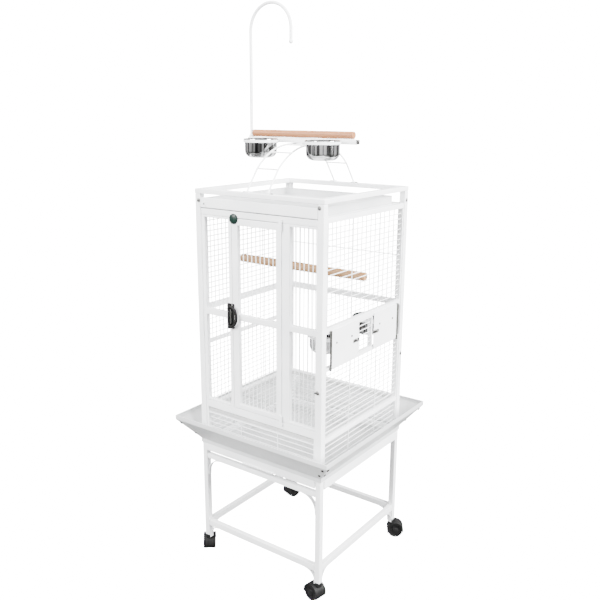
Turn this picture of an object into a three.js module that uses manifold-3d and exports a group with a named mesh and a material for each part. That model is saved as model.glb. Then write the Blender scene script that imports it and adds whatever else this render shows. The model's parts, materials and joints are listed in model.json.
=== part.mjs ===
// Play-top bird cage on a caster stand. Millimetres, +Z up.
// Origin: on the floor, below the middle of the cage. The door faces -Y, the feeders face +X.
import * as THREE from 'three';
import Module from 'manifold-3d';
import { mergeVertices } from 'three/addons/utils/BufferGeometryUtils.js';

const wasm = await Module();
wasm.setup();

// ---------------------------------------------------------------- driving dimensions
const GAP = 0.3;                     // clearance between neighbouring pieces
const HALF = 228.6;                  // half the outside width and depth of the cage
const POST = 20;                     // corner post section
const LEG = 18;                      // stand leg section
const WALL = 1.5;                    // tube and sheet thickness
const PITCH = 16;                    // wire spacing
const WIRE = 2.6;                    // wire section
const MIDLINE = HALF - POST / 2;     // centre line of posts, legs and panel wires
const SPAN = HALF - POST - GAP;      // half length of a panel between two posts
const DEPTH = [-MIDLINE - 7, -MIDLINE + 7];   // front and back of a panel's frame bars

const LEG_FOOT = 60;                 // heights above the floor
const LOWER_RAIL = [97, 117];
const UPPER_RAIL = [338, 354];
const BASE_RAIL = [360, 390.7];
const POST_FOOT = 385;
const PANEL_FOOT = 391;
const FLANGE = [PANEL_FOOT, 401];
const GRATE = 509;
const SILL = [517, 540];
const FEEDER_RAIL = [714, 725];
const MID_RAIL = [817, 836];
const SIDE_MID_RAIL = [822, 840];
const LINTEL = [1118, 1136];
const SIDE_TOP_RAIL = [1126, 1142];
const TOP_TRAY = [1139, 1168];
const TOP_FRAME = [1178, 1192];
const PLAY_BAR = [1321, 1335];
const HOOK_TOP = 1722;

const DOOR = { left: -91.5, right: 87.5, bottom: 541.5, top: 1116.5, front: -226.6, back: -212.6 };
const DOOR_AXIS = { x: 88.25, y: -231.2 };
const DOOR_MULLIONS = { left: [-105, -93], right: [89, 115] };
const FEEDER = {
  axisX: 187, axisY: -229.4, cupX: 118, cupY: -162.4, inner: 46, outer: 183.5, bottom: 718, top: 830,
};
const FEEDER_CUP = { body: 44.5, lip: 48.4, top: 796.6, height: 56 };
const TOP_CUP = { x: 111, y: -66, body: 47.5, lip: 51.8, top: 1333, height: 55 };
const SKIRT = { reach: 57.8, hem: 391.5, slopeFoot: 404, slopeTop: 472, rim: 486 };
const CASTER = { radius: 25, trail: 15, halfWidth: 20 };
const PERCH_RADIUS = 13;

// ---------------------------------------------------------------- materials
const paint = (color, roughness, metalness) => (
  new THREE.MeshStandardMaterial({ color, roughness, metalness })
);
const COAT = paint(0xeceeed, 0.42, 0.05);
const STEEL = paint(0xc9cccf, 0.18, 1);
const PERCH_WOOD = paint(0xd9a985, 0.7, 0);
const PLAY_WOOD = paint(0xf0cdae, 0.65, 0);
const BLACK = paint(0x141414, 0.5, 0);
const GREEN = paint(0x16302a, 0.35, 0);

// ---------------------------------------------------------------- solids from three.js geometry
function solid(geometry) {
  geometry.deleteAttribute('normal');
  geometry.deleteAttribute('uv');
  const merged = mergeVertices(geometry, 1e-4);
  return new wasm.Manifold(new wasm.Mesh({
    numProp: 3,
    vertProperties: Float32Array.from(merged.attributes.position.array),
    triVerts: Uint32Array.from(merged.index.array),
  }));
}

const join = (...solids) => solids.flat().reduce((whole, piece) => whole.add(piece));

// A box between two limits on each axis.
function box(x, y, z) {
  const geometry = new THREE.BoxGeometry(x[1] - x[0], y[1] - y[0], z[1] - z[0]);
  geometry.translate((x[0] + x[1]) / 2, (y[0] + y[1]) / 2, (z[0] + z[1]) / 2);
  return solid(geometry);
}

const around = (centre, width) => [centre - width / 2, centre + width / 2];
const mirrored = (range, side) => (side > 0 ? range : [-range[1], -range[0]]);

// A round bar standing upright at x, y.
function upright(x, y, radius, z, sides = 16) {
  const geometry = new THREE.CylinderGeometry(radius, radius, z[1] - z[0], sides);
  geometry.rotateX(Math.PI / 2);
  geometry.translate(x, y, (z[0] + z[1]) / 2);
  return solid(geometry);
}

// A round bar lying along Y.
function axle(x, z, radius, y, sides = 16) {
  const geometry = new THREE.CylinderGeometry(radius, radius, y[1] - y[0], sides);
  geometry.rotateY(Math.PI / sides);
  geometry.translate(x, (y[0] + y[1]) / 2, z);
  return solid(geometry);
}

// An outline in the x-z plane pushed along Y.
function profileAlongY(shape, y, curveSegments = 8) {
  const settings = { depth: y[1] - y[0], bevelEnabled: false, curveSegments };
  const geometry = new THREE.ExtrudeGeometry(shape, settings);
  geometry.rotateX(Math.PI / 2);
  geometry.translate(0, y[1], 0);
  return solid(geometry);
}

// A round rod that follows a curve.
function rod(curve, radius, steps, sides = 8) {
  const section = new THREE.Shape();
  section.absarc(0, 0, radius, 0, Math.PI * 2);
  const along = { steps, bevelEnabled: false, extrudePath: curve, curveSegments: sides / 2 };
  return solid(new THREE.ExtrudeGeometry(section, along));
}

function bufferGeometry(manifold) {
  const mesh = manifold.getMesh();
  const geometry = new THREE.BufferGeometry();
  const vertices = Float32Array.from(mesh.vertProperties);
  geometry.setAttribute('position', new THREE.BufferAttribute(vertices, 3));
  geometry.setIndex(new THREE.BufferAttribute(Uint32Array.from(mesh.triVerts), 1));
  geometry.computeVertexNormals();
  return geometry;
}

const cage = new THREE.Group();

function place(name, manifold, material = COAT, { turn = 0, at = [0, 0, 0] } = {}) {
  const mesh = new THREE.Mesh(bufferGeometry(manifold), material);
  mesh.name = name;
  mesh.position.set(...at);
  mesh.rotation.z = turn;
  cage.add(mesh);
}

// Panels are drawn as the front panel, x to the right and y into the cage, and turned to their side.
const SIDES = { front: 0, right: Math.PI / 2, back: Math.PI, left: -Math.PI / 2 };
const CORNERS = { front_left: [-1, -1], front_right: [1, -1], back_right: [1, 1], back_left: [-1, 1] };

// ---------------------------------------------------------------- wires and frame bars
// Centres that split a span evenly, as near to the wire pitch as they can.
function between(low, high, pitch = PITCH) {
  const count = Math.round((high - low) / pitch);
  return Array.from({ length: count - 1 }, (_, i) => low + ((high - low) * (i + 1)) / count);
}

const bar = (x, z) => box(x, DEPTH, z);
const LEVEL_Y = around(-MIDLINE, WIRE);
const SUPPORT_Y = around(-MIDLINE - WIRE - GAP, WIRE);
const sunk = (range) => [range[0] - 1, range[1] + 1];
const wiresUp = (x, z) => between(...x).map((at) => box(around(at, WIRE), LEVEL_Y, sunk(z)));
const wiresAcross = (x, z) => between(...z).map((at) => box(sunk(x), LEVEL_Y, around(at, WIRE)));
const supports = (places, z) => places.map((at) => box(around(at, WIRE), SUPPORT_Y, sunk(z)));

// A grille of level wires between stiles, with rails across it at the given heights.
function levelGrille(x, rails, stile, supportPlaces) {
  const inside = [x[0] + stile, x[1] - stile];
  const z = [rails[0][0], rails.at(-1)[1]];
  return join(
    bar([x[0], inside[0]], z),
    bar([inside[1], x[1]], z),
    rails.map((rail) => bar(x, rail)),
    rails.slice(1).flatMap((rail, i) => wiresAcross(inside, [rails[i][1], rail[0]])),
    supports(supportPlaces, [rails[0][1], rails.at(-1)[0]]),
  );
}

// ---------------------------------------------------------------- stand
function quarterBrace(side, rail, radius, width) {
  const thickness = 3;
  const end = MIDLINE - LEG / 2 - GAP;
  const centre = { x: end - radius, z: rail - radius + 1 };
  const shape = new THREE.Shape();
  shape.absarc(centre.x, centre.z, radius, 0, Math.PI / 2, false);
  shape.absarc(centre.x, centre.z, radius - thickness, Math.PI / 2, 0, true);
  const strip = profileAlongY(shape, around(-MIDLINE, width), 4);
  return side > 0 ? strip : strip.mirror([1, 0, 0]);
}

function bracedRail(z, radius) {
  const end = MIDLINE - LEG / 2 - GAP;
  const braces = [-1, 1].map((side) => quarterBrace(side, z[0], radius, 12));
  return join(box([-end, end], around(-MIDLINE, 16), z), braces);
}

function makeStand() {
  const stemHole = { radius: 6, depth: 18 };
  for (const [corner, [sx, sy]] of Object.entries(CORNERS)) {
    const half = LEG / 2;
    const hollow = half - WALL;
    const socketTop = LEG_FOOT + stemHole.depth;
    const leg = box([-half, half], [-half, half], [LEG_FOOT, POST_FOOT - GAP])
      .subtract(box([-hollow, hollow], [-hollow, hollow], [socketTop, POST_FOOT]))
      .subtract(upright(0, 0, stemHole.radius, [LEG_FOOT - 1, socketTop + 1]));
    place(`leg_${corner}`, leg, COAT, { at: [sx * MIDLINE, sy * MIDLINE, 0] });
  }
  for (const [side, turn] of Object.entries(SIDES)) {
    place(`stand_lower_rail_${side}`, bracedRail(LOWER_RAIL, 36), COAT, { turn });
  }
  place('stand_upper_rail_front', bracedRail(UPPER_RAIL, 50));
}

function makeBaseFrame() {
  const end = MIDLINE - LEG / 2 - GAP;
  const ledge = [364, 366];
  const ledgeReach = 190;
  const rail = [end - 0.4, HALF];
  place('base_frame', join(
    box([-rail[1], -rail[0]], [-SPAN, SPAN], BASE_RAIL),
    box(rail, [-SPAN, SPAN], BASE_RAIL),
    box([-SPAN, SPAN], rail, BASE_RAIL),
    box([-end, -ledgeReach], [-end, end], ledge),
    box([ledgeReach, end], [-end, end], ledge),
    box([-end, end], [ledgeReach, end], ledge),
  ));
}

// An open pan with a front plate that is wider and taller than its walls.
function pan(halfWidth, back, floor, wallTop, plate) {
  const inner = halfWidth - WALL;
  return join(
    box([-halfWidth, halfWidth], [-224.5, back], [floor, wallTop])
      .subtract(box([-inner, inner], [-224.5 + WALL, back - WALL], [floor + WALL, wallTop + 1])),
    box([-208, 208], [-HALF, -224], plate),
  );
}

function makeTrays() {
  const lip = box([-60, 60], [-HALF - 5, -HALF + 1], [366.3, 368.5]);
  place('litter_tray', join(pan(205, 205, 366.3, 388, [366.3, 390.4]), lip));
  place('top_tray', pan(205, 174, SIDE_TOP_RAIL[1] + GAP, 1166, TOP_TRAY));
}

function makeSkirt() {
  const thickness = 1.6;
  const inner = HALF + GAP;
  const outer = HALF + SKIRT.reach;
  const points = [
    [inner, SKIRT.hem], [inner + thickness, SKIRT.hem], [inner + thickness, SKIRT.slopeFoot],
    [outer, SKIRT.slopeTop], [outer, SKIRT.rim],
    [outer - thickness, SKIRT.rim], [outer - thickness, SKIRT.slopeTop + 1],
    [inner + thickness, SKIRT.slopeFoot + 2.5], [inner, SKIRT.slopeFoot + 2.5],
  ];
  const geometry = new THREE.ExtrudeGeometry(
    new THREE.Shape(points.map(([y, z]) => new THREE.Vector2(y, z))),
    { depth: 2 * outer, bevelEnabled: false },
  );
  geometry.rotateX(Math.PI / 2);
  geometry.rotateZ(-Math.PI / 2);
  geometry.translate(outer, 0, 0);
  const wedge = new THREE.Shape([[0, 0], [outer + 20, -outer - 20], [-outer - 20, -outer - 20]]
    .map(([x, y]) => new THREE.Vector2(x, y - 0.5)));
  const mitre = new THREE.ExtrudeGeometry(wedge, { depth: 200, bevelEnabled: false });
  mitre.translate(0, 0, 350);
  const panel = solid(geometry).intersect(solid(mitre));
  for (const [side, turn] of Object.entries(SIDES)) place(`skirt_${side}`, panel, COAT, { turn });
}

// ---------------------------------------------------------------- cage walls
function makePosts() {
  const half = POST / 2;
  const hollow = half - WALL;
  const post = box([-half, half], [-half, half], [POST_FOOT, TOP_FRAME[0] - GAP])
    .subtract(box([-hollow, hollow], [-hollow, hollow], [POST_FOOT - 1, TOP_FRAME[0]]));
  for (const [corner, [sx, sy]] of Object.entries(CORNERS)) {
    place(`post_${corner}`, post, COAT, { at: [sx * MIDLINE, sy * MIDLINE, 0] });
  }
  const well = HALF - POST;
  place('top_frame', box([-HALF, HALF], [-HALF, HALF], TOP_FRAME)
    .subtract(box([-well, well], [-well, well], [TOP_FRAME[0] - 1, TOP_FRAME[1] + 1])));
}

// The strips that the closed door rests against, behind its edges.
const STOP_Y = [-212.3, -210.8];

// A hinge eye that carries a pin, standing in front of a rail.
function fixedKnuckle(axis, radius, z, block, pinRadius, pin) {
  return join(
    upright(axis.x, axis.y, radius, z),
    box(around(axis.x, radius * 1.5), [axis.y, DEPTH[0] + 1], block),
    upright(axis.x, axis.y, pinRadius, pin, 12),
  );
}

function makeFrontWall() {
  const stile = 8;
  const apronTop = [497, 501];
  const wireSpan = [-SPAN + stile, SPAN - stile];
  const stops = { left: [-94, -86], right: [83, 90] };
  const levelStop = [stops.left[1] + GAP, stops.right[0] - GAP];
  place('front_apron', join(
    bar([-SPAN, SPAN], SILL),
    bar([-SPAN, wireSpan[0]], [PANEL_FOOT, SILL[1]]),
    bar([wireSpan[1], SPAN], [PANEL_FOOT, SILL[1]]),
    bar([-SPAN, SPAN], apronTop),
    bar([-SPAN, SPAN], FLANGE),
    wiresAcross(wireSpan, [FLANGE[1], apronTop[0]]),
    supports([-70, 70], [FLANGE[1], apronTop[0]]),
    box(levelStop, STOP_Y, [SILL[1] - 1, SILL[1] + 5]),
    fixedKnuckle(DOOR_AXIS, 4.2, [530, 544], [530, 540], 2.2, [543, 558]),
  ));
  place('front_lintel', join(
    bar([-SPAN, SPAN], LINTEL),
    box(levelStop, STOP_Y, [LINTEL[0] - 5, LINTEL[0] + 1]),
    fixedKnuckle(DOOR_AXIS, 4.2, [1114, 1127], [1119, 1127], 2.2, [1100, 1115]),
  ));
  const z = [SILL[1] + GAP, LINTEL[0] - GAP];
  const sections = {
    left: { x: [-SPAN, DOOR_MULLIONS.left[1]], wires: [-196, DOOR_MULLIONS.left[0]] },
    right: { x: [DOOR_MULLIONS.right[0], SPAN], wires: [DOOR_MULLIONS.right[1], 204] },
  };
  for (const [side, { x, wires }] of Object.entries(sections)) {
    place(`front_grille_${side}`, join(
      bar([x[0], wires[0]], z),
      bar([wires[1], x[1]], z),
      [[z[0], z[0] + 7], MID_RAIL, [z[1] - 7, z[1]]].map((rail) => bar(x, rail)),
      wiresUp(wires, [z[0] + 6, z[1] - 6]),
      box(stops[side], STOP_Y, z),
    ));
  }
}

const SIDE_SILL = [499, 513];
const SUPPORTS = [-75, 75];

// The ledge inside a side wall that the floor grate slides on.
const grateLedge = () => box([-195, 195], [DEPTH[1] - 1, -196], [499.5, 502.5]);

function makePlainWalls() {
  const rails = [FLANGE, SIDE_SILL, FEEDER_RAIL, SIDE_MID_RAIL, SIDE_TOP_RAIL];
  const left = levelGrille([-SPAN, SPAN], rails, 5, SUPPORTS);
  place('left_grille', join(left, grateLedge()), COAT, { turn: SIDES.left });

  const backRails = [FLANGE, SIDE_SILL, MID_RAIL, SIDE_TOP_RAIL];
  const inside = [-SPAN + 5, SPAN - 5];
  const z = [PANEL_FOOT, SIDE_TOP_RAIL[1]];
  const thinWire = box([inside[0] - 1, inside[1] + 1], SUPPORT_Y, around(977, WIRE));
  place('back_grille', join(
    bar([-SPAN, inside[0]], z),
    bar([inside[1], SPAN], z),
    backRails.map((rail) => bar([-SPAN, SPAN], rail)),
    wiresAcross(inside, [FLANGE[1], SIDE_SILL[0]]),
    wiresUp(inside, [SIDE_SILL[1], SIDE_TOP_RAIL[0]]),
    thinWire,
  ), COAT, { turn: SIDES.back });
}

function makeFeederWall() {
  const lowerKnuckle = (side) => fixedKnuckle({ x: side * FEEDER.axisX, y: FEEDER.axisY }, 3.2,
    [715, 729], [715, 724], 1.6, [728, 738]);
  const upperKnuckle = (side) => fixedKnuckle({ x: side * FEEDER.axisX, y: FEEDER.axisY }, 3.2,
    [808, 831], [823, 831], 1.6, [799.5, 809]);
  place('right_grille_lower', join(
    levelGrille([-SPAN, SPAN], [FLANGE, SIDE_SILL, FEEDER_RAIL], 5, SUPPORTS),
    grateLedge(),
    [-1, 1].map(lowerKnuckle),
  ), COAT, { turn: SIDES.right });
  place('right_grille_upper', join(
    levelGrille([-SPAN, SPAN], [SIDE_MID_RAIL, SIDE_TOP_RAIL], 5, SUPPORTS),
    [-1, 1].map(upperKnuckle),
  ), COAT, { turn: SIDES.right });
  const z = [FEEDER_RAIL[1] + GAP, SIDE_MID_RAIL[0] - GAP];
  const edge = 41;
  place('feeder_divider', levelGrille([-edge, edge], [[z[0], z[0] + 3], [z[1] - 3, z[1]]], 6, []),
    COAT, { turn: SIDES.right });
}

// ---------------------------------------------------------------- door
function makeDoor() {
  const y = [DOOR.front, DOOR.back];
  const frame = (x, z) => box(x, y, z);
  const wires = [DOOR.left + 22, DOOR.right - 19];
  const z = [DOOR.bottom + 14.5, DOOR.top - 20];
  const knuckles = [[545, 560], [1098, 1113]];
  const bare = join(
    frame([DOOR.left, wires[0]], [DOOR.bottom, DOOR.top]),
    frame([wires[1], DOOR.right], [DOOR.bottom, DOOR.top]),
    frame([DOOR.left, DOOR.right], [DOOR.bottom, z[0]]),
    frame([DOOR.left, DOOR.right], MID_RAIL),
    frame([DOOR.left, DOOR.right], [z[1], DOOR.top]),
    wiresUp(wires, z),
    knuckles.map((range) => join(
      upright(DOOR_AXIS.x, DOOR_AXIS.y, 4.2, range),
      box([79, 87], [-229.7, -226], range),
    )),
  );
  const bores = knuckles.map(([low, high]) => upright(DOOR_AXIS.x, DOOR_AXIS.y, 2.5, [low - 1, high + 1]));
  place('door', bare.subtract(join(bores)));
  place('door_badge', axle(-82, 1115, 15, [-233, DOOR.front - GAP], 24), GREEN);
}

function makeDoorLatch() {
  const z = [790, 866];
  const axis = { x: -98, y: -236 };
  place('door_latch_plate', join(
    box([-107.5, -84], [-231.5, DOOR.front - GAP], z),
    [[z[0], z[0] + 7.5], [z[1] - 7.5, z[1]]].map((ear) => box([-102, -95.6], [-239, -231], ear)),
  ), BLACK);

  const middle = (z[0] + z[1]) / 2;
  const reach = { x: 29, z: 34 };
  const rim = { x: 7, z: 8 };
  const flat = -93.5;
  const quarter = Math.PI / 2;
  const shape = new THREE.Shape();
  shape.absellipse(flat, middle, reach.x, reach.z, -quarter, quarter, false);
  const hole = new THREE.Path();
  hole.absellipse(flat + rim.x, middle, reach.x - 2 * rim.x, reach.z - rim.z, -quarter, quarter, false);
  shape.holes.push(hole);
  place('door_latch_lever', join(
    profileAlongY(shape, [-241, -234], 12),
    box([axis.x, flat + 1], [axis.y - 2, axis.y + 1.5], [801, 855]),
    upright(axis.x, axis.y, 3.7, [798, 858]),
  ), BLACK);
}

// ---------------------------------------------------------------- feeders
// A round pan with a rolled lip, turned about Z.
function cup({ body, lip, top, height }) {
  const wall = 1.2;
  const bottom = top - height;
  const corner = 14;
  const arc = (radius, sign) => Array.from({ length: 4 }, (_, i) => {
    const angle = (sign > 0 ? i : 3 - i) * (Math.PI / 6);
    return [body - corner + radius * Math.sin(angle), bottom + corner - radius * Math.cos(angle)];
  });
  const profile = [
    [0, bottom], ...arc(corner, 1), [body, top - 2], [lip, top - 2], [lip, top],
    [body - wall, top], ...arc(corner - wall, -1), [0, bottom + wall],
  ];
  const geometry = new THREE.LatheGeometry(profile.map(([r, z]) => new THREE.Vector2(r, z)), 18);
  geometry.rotateX(Math.PI / 2);
  return solid(geometry);
}

function ring(x, y, inner, outer, z) {
  return upright(x, y, outer, z, 24).subtract(upright(x, y, inner, [z[0] - 1, z[1] + 1], 24));
}

function feederDoor(side) {
  const axis = { x: side * FEEDER.axisX, y: FEEDER.axisY };
  const centre = side * FEEDER.cupX;
  const plateY = [-228.2, -226.2];
  const ringZ = [786, 794.3];
  const barrel = [730, 807];
  const armEnd = FEEDER.cupY - 40.8;
  const arm = (offset) => box(around(centre + offset, 6), [plateY[0], armEnd], ringZ);
  return join(
    box(mirrored([FEEDER.inner, FEEDER.outer], side), plateY, [FEEDER.bottom, FEEDER.top]),
    upright(axis.x, axis.y, 3.2, barrel),
    box(mirrored([FEEDER.outer - 1, FEEDER.axisX - 1], side), plateY, barrel),
    ring(centre, FEEDER.cupY, 45.3, 48.5, ringZ),
    arm(-23),
    arm(23),
  ).subtract(upright(axis.x, axis.y, 1.9, [barrel[0] - 1, barrel[1] + 1], 12));
}

function turnLatch(x, z) {
  const reach = 10;
  const halfWidth = 5;
  const shape = new THREE.Shape();
  shape.absarc(x + reach, z, halfWidth, -Math.PI / 2, Math.PI / 2, false);
  shape.absarc(x - reach, z, halfWidth, Math.PI / 2, Math.PI * 1.5, false);
  return join(profileAlongY(shape, [-231.4, -228.5], 6), axle(x, z, 4, [-236, -231]));
}

function makeFeeders() {
  for (const [name, side] of [['front', -1], ['back', 1]]) {
    place(`feeder_door_${name}`, feederDoor(side), COAT, { turn: SIDES.right });
    place(`feeder_latch_${name}`, turnLatch(side * 56, 772), STEEL, { turn: SIDES.right });
    place(`feeder_cup_${name}`, cup(FEEDER_CUP), STEEL, { at: [-FEEDER.cupY, side * FEEDER.cupX, 0] });
  }
}

// ---------------------------------------------------------------- grate, roof and perches
function makeFloorGrate() {
  const half = 199;
  const y = [-224, 202];
  const frame = [GRATE - 5.5, GRATE + 4.5];
  const wireY = [y[0] + 4, y[1] - 4];
  const wires = between(-half + 4, half - 4).map((x) => box(around(x, WIRE), wireY, around(GRATE, WIRE)));
  place('floor_grate', join(
    box([-half, half], [y[0], y[0] + 6], frame),
    box([-half, half], [y[1] - 6, y[1]], frame),
    box([-half, -half + 4], y, frame),
    box([half - 4, half], y, frame),
    [-70, 70].map((at) => box([-half + 3, half - 3], around(at, 4), [GRATE - 5, GRATE - 2])),
    wires,
  ));
}

function makeRoofGrille() {
  const z = [SIDE_TOP_RAIL[1] - 14, SIDE_TOP_RAIL[1]];
  const inner = SPAN - 12;
  const inside = [-inner, inner];
  const wire = (x) => box(around(x, WIRE), sunk(inside), around(z[0] + 6, WIRE));
  place('roof_grille', join(
    box([-SPAN, SPAN], [-SPAN, SPAN], z).subtract(box(inside, inside, sunk(z))),
    between(...inside).map(wire),
  ));
}

// The perch hangs a little askew: its two ends sit in different gaps of the side walls.
function makeInnerPerch() {
  const ends = [new THREE.Vector3(-213, -40, 959.2), new THREE.Vector3(213, 16, 943.3)];
  const axis = ends[1].clone().sub(ends[0]);
  const geometry = new THREE.CylinderGeometry(PERCH_RADIUS, PERCH_RADIUS, axis.length(), 12);
  const along = axis.clone().normalize();
  geometry.applyQuaternion(new THREE.Quaternion().setFromUnitVectors(new THREE.Vector3(0, 1, 0), along));
  geometry.translate(...ends[0].clone().add(ends[1]).multiplyScalar(0.5).toArray());
  place('inner_perch', solid(geometry), PERCH_WOOD);
}

// ---------------------------------------------------------------- play top
const LADDER = {
  halfWidth: 37,
  rod: 2.75,
  rungs: [40, 112, 174],
  foot: [218, TOP_FRAME[1] + GAP + 3.2],
  bend: [174, 1255],
  crown: PLAY_BAR[0] - GAP - 3,
};

// Height of the ladder's rods above a distance y from the middle.
function ladderHeight(y) {
  const [bendY, bendZ] = LADDER.bend;
  const [footY, footZ] = LADDER.foot;
  const distance = Math.abs(y);
  if (distance > bendY) return bendZ - (distance - bendY) * (bendZ - footZ) / (footY - bendY);
  return LADDER.crown - (LADDER.crown - bendZ) * (distance / bendY) ** 2.6;
}

function makeLadder() {
  const ends = LADDER.foot[0];
  const steps = 22;
  const rail = (x) => {
    const points = Array.from({ length: steps + 1 }, (_, i) => {
      const y = -ends * Math.cos((Math.PI * i) / steps);
      return new THREE.Vector3(x, y, ladderHeight(y));
    });
    return rod(new THREE.CatmullRomCurve3(points), LADDER.rod, steps, 6);
  };
  const rung = (y) => {
    const geometry = new THREE.CylinderGeometry(2.2, 2.2, 2 * LADDER.halfWidth, 6);
    geometry.rotateZ(Math.PI / 2);
    geometry.translate(0, y, ladderHeight(y));
    return solid(geometry);
  };
  const foot = (x, y) => box(around(x, 12), around(y, 16), [TOP_FRAME[1] + GAP, TOP_FRAME[1] + 3]);
  place('play_ladder', join(
    rail(-LADDER.halfWidth),
    rail(LADDER.halfWidth),
    LADDER.rungs.flatMap((y) => [rung(-y), rung(y)]),
    [-LADDER.halfWidth, LADDER.halfWidth].flatMap((x) => [foot(x, -ends), foot(x, ends)]),
  ));
}

function makePlayBar() {
  place('play_bar', box([-208, 185], [-10, 10], PLAY_BAR));
  const radius = 11;
  const geometry = new THREE.CylinderGeometry(radius, radius, 363, 12);
  geometry.rotateY(Math.PI / 12);
  geometry.rotateZ(Math.PI / 2);
  geometry.translate(-9.5, 0, PLAY_BAR[1] + GAP + radius);
  place('top_perch', solid(geometry), PLAY_WOOD);
}

function makeTopCups() {
  const ringZ = [TOP_CUP.top - 11, TOP_CUP.top - 2.3];
  const { body, x, y } = TOP_CUP;
  const outer = body + 4;
  for (const [name, side] of [['left', -1], ['right', 1]]) {
    const width = around(side * x, 16);
    const tabZ = [PLAY_BAR[0] - 3.3, PLAY_BAR[0] - GAP];
    place(`top_cup_ring_${name}`, join(
      ring(side * x, y, body + 0.9, outer, ringZ),
      box(width, [y + body + 1.5, 9], tabZ),
      box(width, [y + body + 1.5, -11], [tabZ[0], ringZ[0] + 5]),
    ));
    place(`top_cup_${name}`, cup(TOP_CUP), STEEL, { at: [side * x, y, 0] });
  }
}

function makeToyHook() {
  const radius = 75;
  const stem = -200;
  const tube = 4.75;
  const foot = PLAY_BAR[1] + GAP;
  const centre = new THREE.Vector3(stem + radius, 0, HOOK_TOP - tube - radius);
  const path = new THREE.CurvePath();
  const points = [];
  for (let i = 0; i <= 12; i += 1) {
    const angle = Math.PI - (Math.PI * i) / 12;
    const spoke = new THREE.Vector3(Math.cos(angle), 0, Math.sin(angle)).multiplyScalar(radius);
    points.push(spoke.add(centre));
  }
  const tip = new THREE.Vector3(centre.x + radius, 0, centre.z - 36);
  path.add(new THREE.LineCurve3(new THREE.Vector3(stem, 0, foot), points[0]));
  path.add(new THREE.CatmullRomCurve3(points));
  path.add(new THREE.LineCurve3(points.at(-1), tip));
  const ball = new THREE.SphereGeometry(6.5, 10, 8);
  ball.translate(...tip.toArray());
  const collar = upright(stem, 0, 8, [foot, foot + 8]);
  place('toy_hook', join(rod(path, tube, 36), solid(ball), collar));
}

// ---------------------------------------------------------------- casters
function casterHousing() {
  const { radius, trail, halfWidth } = CASTER;
  const hood = { outer: radius + 3, inner: radius + 1, from: -0.25, to: 3.6 };
  const arc = new THREE.Shape();
  arc.absarc(trail, radius, hood.outer, hood.from, hood.to, false);
  arc.absarc(trail, radius, hood.inner, hood.to, hood.from, true);
  const web = axle(trail, radius, hood.inner + 0.5, [-4.5, 4.5], 20)
    .intersect(box([-40, 60], [-5, 5], [12, 60]));
  return join(
    profileAlongY(arc, [-halfWidth, halfWidth], 7),
    web,
    upright(0, 0, 9, [50, LEG_FOOT - GAP], 12),
    upright(0, 0, 5.5, [55, LEG_FOOT + 14], 12),
  ).subtract(axle(trail, radius, 4.6, [-6, 6], 12));
}

function casterWheels() {
  const { radius, trail, halfWidth } = CASTER;
  const sides = 20;
  const tread = radius / Math.cos(Math.PI / sides);
  return join(
    axle(trail, radius, tread, [-halfWidth + 1, -6], sides),
    axle(trail, radius, tread, [6, halfWidth - 1], sides),
    axle(trail, radius, 4, [-7, 7], 12),
  );
}

function makeCasters() {
  const trailing = { front_left: 130, front_right: 170, back_right: 32, back_left: 70 };
  for (const [corner, [sx, sy]] of Object.entries(CORNERS)) {
    const turn = THREE.MathUtils.degToRad(trailing[corner]);
    const placed = { turn, at: [sx * MIDLINE, sy * MIDLINE, 0] };
    place(`caster_housing_${corner}`, casterHousing(), BLACK, placed);
    place(`caster_wheels_${corner}`, casterWheels(), BLACK, placed);
  }
}

makeStand();
makeBaseFrame();
makeTrays();
makeSkirt();
makePosts();
makeFrontWall();
makePlainWalls();
makeFeederWall();
makeDoor();
makeDoorLatch();
makeFeeders();
makeFloorGrate();
makeRoofGrille();
makeInnerPerch();
makeLadder();
makePlayBar();
makeTopCups();
makeToyHook();
makeCasters();

export default cage;
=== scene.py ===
"""Play-top bird cage on a caster stand: the visual model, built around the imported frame.

Shapes are worked out in millimetres, +Z up, and become metres when a piece is finished.
Panels are drawn as the front panel, x to the right and y into the cage, and turned to their side.
"""

import json
import math

import bmesh
import bpy
from mathutils import Matrix, Vector


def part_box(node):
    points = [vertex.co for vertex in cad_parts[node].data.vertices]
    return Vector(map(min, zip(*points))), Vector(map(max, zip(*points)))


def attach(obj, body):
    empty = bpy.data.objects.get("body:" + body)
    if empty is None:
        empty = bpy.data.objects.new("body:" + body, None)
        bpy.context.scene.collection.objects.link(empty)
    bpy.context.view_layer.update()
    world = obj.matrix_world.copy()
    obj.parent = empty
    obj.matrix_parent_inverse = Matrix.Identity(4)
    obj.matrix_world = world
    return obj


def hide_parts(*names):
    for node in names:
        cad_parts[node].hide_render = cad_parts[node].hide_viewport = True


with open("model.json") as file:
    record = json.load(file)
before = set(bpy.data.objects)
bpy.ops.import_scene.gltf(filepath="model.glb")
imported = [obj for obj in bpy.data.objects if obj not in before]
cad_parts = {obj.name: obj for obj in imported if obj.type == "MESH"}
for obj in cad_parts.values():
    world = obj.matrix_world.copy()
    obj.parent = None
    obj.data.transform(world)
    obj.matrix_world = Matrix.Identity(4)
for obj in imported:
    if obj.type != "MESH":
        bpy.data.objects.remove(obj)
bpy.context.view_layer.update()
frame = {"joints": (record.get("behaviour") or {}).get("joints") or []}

MM = 0.001
SIDES = ("front", "right", "back", "left")
CORNERS = {"front_left": (-1, -1), "front_right": (1, -1), "back_right": (1, 1), "back_left": (-1, 1)}
TURNS = {side: Matrix.Rotation(math.radians(90 * i), 4, "Z") for i, side in enumerate(SIDES)}
UP, ACROSS, INTO = Vector((0, 0, 1)), Vector((1, 0, 0)), Vector((0, 1, 0))


# ---------------------------------------------------------------- measures
def limits(node):
    """The lowest and highest corners of a CAD node, in millimetres."""
    low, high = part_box(node)
    return low / MM, high / MM


def panel_limits(node, side):
    """The same, as seen from that side of the cage."""
    a, b = (TURNS[side].inverted() @ corner for corner in limits(node))
    return Vector(map(min, a, b)), Vector(map(max, a, b))


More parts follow.
